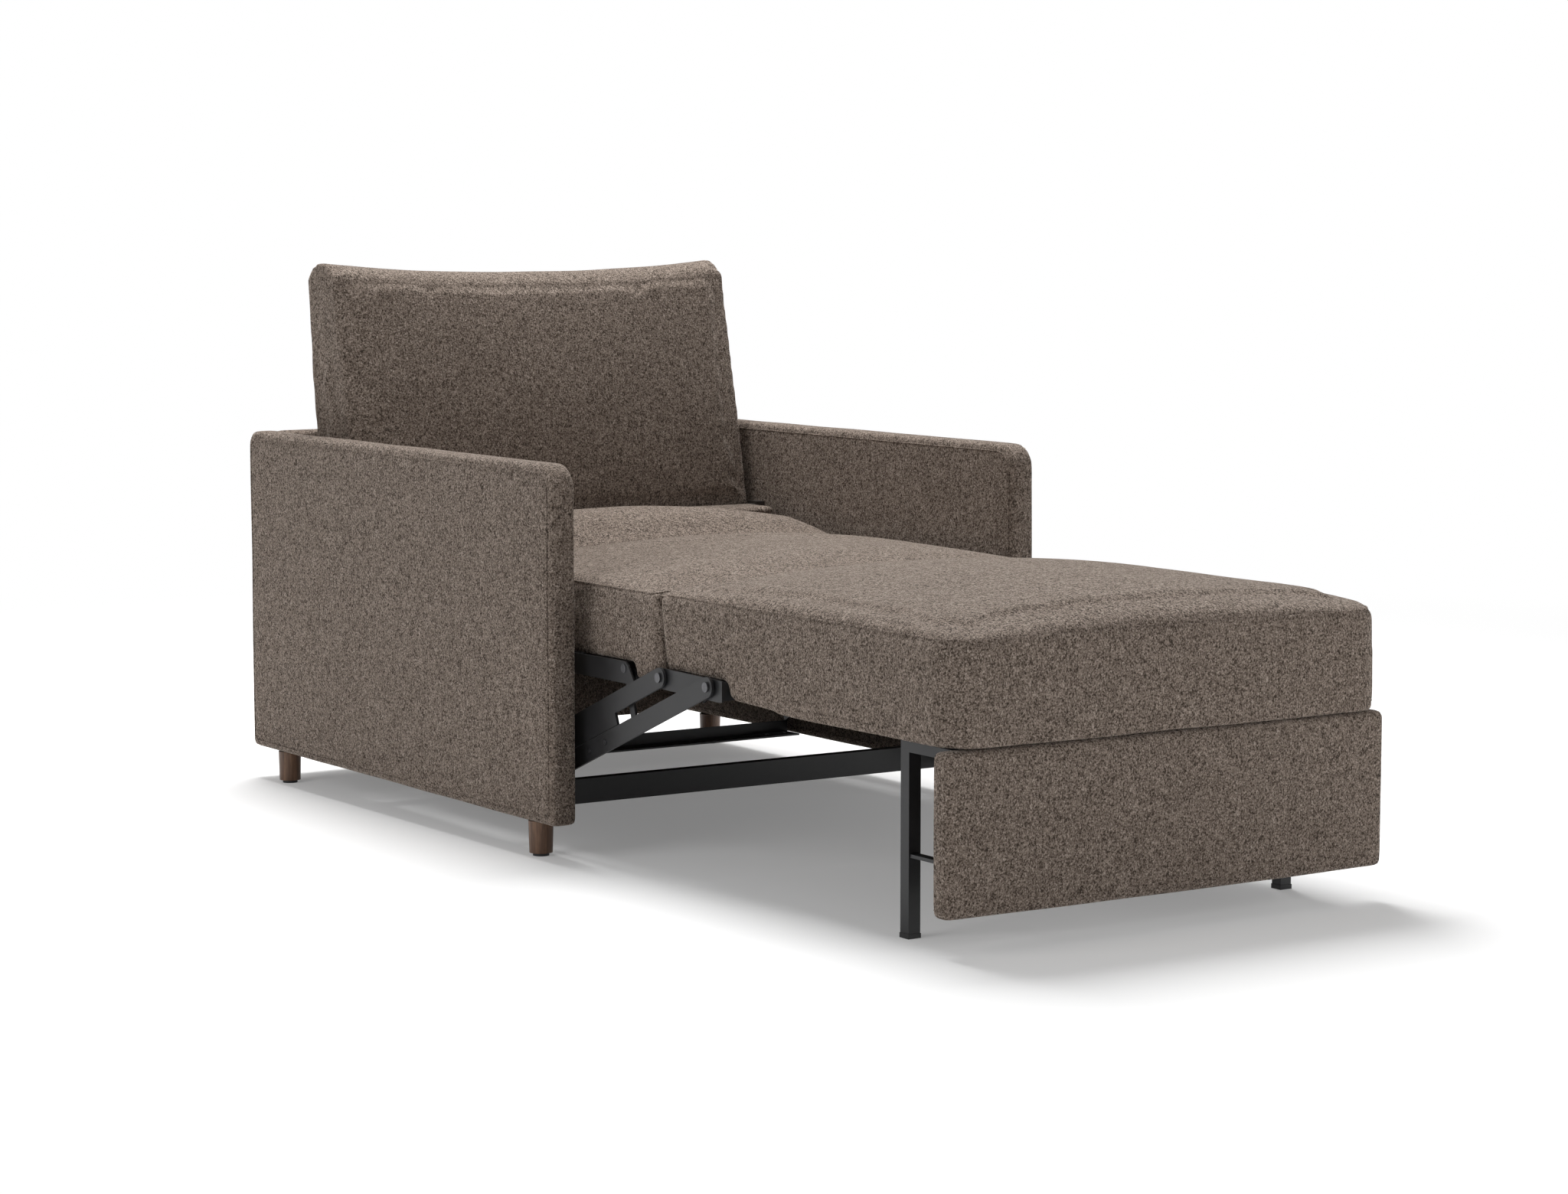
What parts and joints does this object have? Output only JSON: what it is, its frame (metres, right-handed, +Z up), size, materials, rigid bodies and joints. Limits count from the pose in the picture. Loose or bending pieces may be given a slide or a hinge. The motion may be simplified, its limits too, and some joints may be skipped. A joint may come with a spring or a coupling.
{
  "type": "convertible chair bed",
  "caption": "Upholstered armchair opened out as a single bed, with a lift-over front section on side links, a sliding seat deck and a lift-off back cushion.",
  "frame": {"origin": "on the floor, under the middle of the opened bed's length and width", "axes": "+Z up, -Y towards the foot of the bed, +X to the sitter's left"},
  "size_m": [0.9354, 2.02, 0.9153],
  "materials": {
    "upholstery": "matte",
    "frame_board": "matte",
    "slat_wood": "satin",
    "foot_wood": "satin",
    "black_plastic": "matte",
    "bolt_steel": "satin",
    "black_steel": "satin"
  },
  "bodies": {
    "base": {"arm_cover_left": "upholstery", "arm_cover_right": "upholstery", "arm_board_left": "frame_board", "arm_board_right": "frame_board", "back_panel_cover": "upholstery", "back_panel_board": "frame_board", "wooden_feet": "foot_wood", "foot_glides": "black_plastic", "front_beam": "black_steel", "rear_angle": "black_steel", "beam_screws": "bolt_steel", "pivot_plate_left": "black_steel", "pivot_plate_right": "black_steel", "base_pins": "bolt_steel", "slide_rails_left": "black_steel", "slide_rails_right": "black_steel", "rear_ledge_pad": "upholstery", "rear_ledge_board": "frame_board", "back_posts": "black_steel", "flap_lugs": "black_steel"},
    "lower_link_l": {"lower_link_left": "black_steel", "link_rivets_left": "bolt_steel"},
    "lower_link_r": {"lower_link_right": "black_steel", "link_rivets_right": "bolt_steel"},
    "upper_link_l": {"upper_link_left": "black_steel"},
    "upper_link_r": {"upper_link_right": "black_steel"},
    "front_section": {"front_cushion": "upholstery", "front_side_rails": "black_steel", "front_end_rails": "black_steel", "front_slats": "slat_wood", "link_bracket_left": "black_steel", "link_bracket_right": "black_steel", "tip_bolts": "bolt_steel", "front_leg_left": "black_steel", "front_leg_right": "black_steel", "leg_caps": "black_plastic", "panel_ties": "black_steel", "foot_panel_cover": "upholstery", "foot_panel_board": "frame_board", "panel_hangers": "black_steel"},
    "seat_deck": {"middle_cushion": "upholstery", "rear_cushion": "upholstery", "deck_side_rails": "black_steel", "deck_end_rails": "black_steel", "deck_slats": "slat_wood", "deck_plate_left": "black_steel", "deck_plate_right": "black_steel", "deck_rollers": "black_plastic", "roller_studs": "bolt_steel", "prop_bolts": "bolt_steel"},
    "prop_strut_l": {"prop_strut_left": "black_steel"},
    "prop_strut_r": {"prop_strut_right": "black_steel"},
    "rear_flap": {"flap_pad": "upholstery", "flap_board": "frame_board", "flap_rod": "black_steel"},
    "back_rest": {"back_cushion": "upholstery", "back_board": "frame_board", "post_sockets": "black_steel"}
  },
  "joints": [
    {"name": "lower_link_hinge_left", "type": "hinge", "parent": "base", "child": "lower_link_l", "pos_m": [-0.401, 0.048, 0.12588], "axis": [-1, 0, 0], "range_deg": [0, 136.2]},
    {"name": "lower_link_hinge_right", "type": "hinge", "parent": "base", "child": "lower_link_r", "pos_m": [0.401, 0.048, 0.12588], "axis": [-1, 0, 0], "range_deg": [0, 136.2]},
    {"name": "upper_link_hinge_left", "type": "hinge", "parent": "base", "child": "upper_link_l", "pos_m": [-0.401, 0.1815, 0.12588], "axis": [-1, 0, 0], "range_deg": [0, 136.2]},
    {"name": "upper_link_hinge_right", "type": "hinge", "parent": "base", "child": "upper_link_r", "pos_m": [0.401, 0.1815, 0.12588], "axis": [-1, 0, 0], "range_deg": [0, 136.2]},
    {"name": "front_section_hinge", "type": "hinge", "parent": "lower_link_l", "child": "front_section", "pos_m": [-0.401, -0.41, 0.31], "axis": [-1, 0, 0], "range_deg": [-136.2, 0]},
    {"name": "deck_slide", "type": "slide", "parent": "base", "child": "seat_deck", "axis": [0, 0.882, -0.4712], "range_m": [0, 0.41382]},
    {"name": "prop_strut_hinge_left", "type": "hinge", "parent": "seat_deck", "child": "prop_strut_l", "pos_m": [-0.3915, -0.163, 0.312], "axis": [1, 0, 0], "range_deg": [0, 90]},
    {"name": "prop_strut_hinge_right", "type": "hinge", "parent": "seat_deck", "child": "prop_strut_r", "pos_m": [0.3915, -0.163, 0.312], "axis": [1, 0, 0], "range_deg": [0, 90]},
    {"name": "rear_flap_hinge", "type": "hinge", "parent": "base", "child": "rear_flap", "pos_m": [0, 0.699, 0.47], "axis": [-1, 0, 0], "range_deg": [0, 90]},
    {"name": "back_cushion_lift", "type": "slide", "parent": "base", "child": "back_rest", "axis": [0, 0.1392, 0.9903], "range_m": [0, 0.26]}
  ],
  "couplings": [
    {"joint": "lower_link_hinge_right", "follows": "lower_link_hinge_left", "ratio": 1},
    {"joint": "upper_link_hinge_left", "follows": "lower_link_hinge_left", "ratio": 1},
    {"joint": "upper_link_hinge_right", "follows": "lower_link_hinge_left", "ratio": 1},
    {"joint": "front_section_hinge", "follows": "lower_link_hinge_left", "ratio": -1},
    {"joint": "deck_slide", "follows": "lower_link_hinge_left", "m_per_rad": 0.17408},
    {"joint": "rear_flap_hinge", "follows": "lower_link_hinge_left", "ratio": 0.66079},
    {"joint": "prop_strut_hinge_left", "follows": "lower_link_hinge_left", "ratio": 0.66079},
    {"joint": "prop_strut_hinge_right", "follows": "lower_link_hinge_left", "ratio": 0.66079}
  ]
}
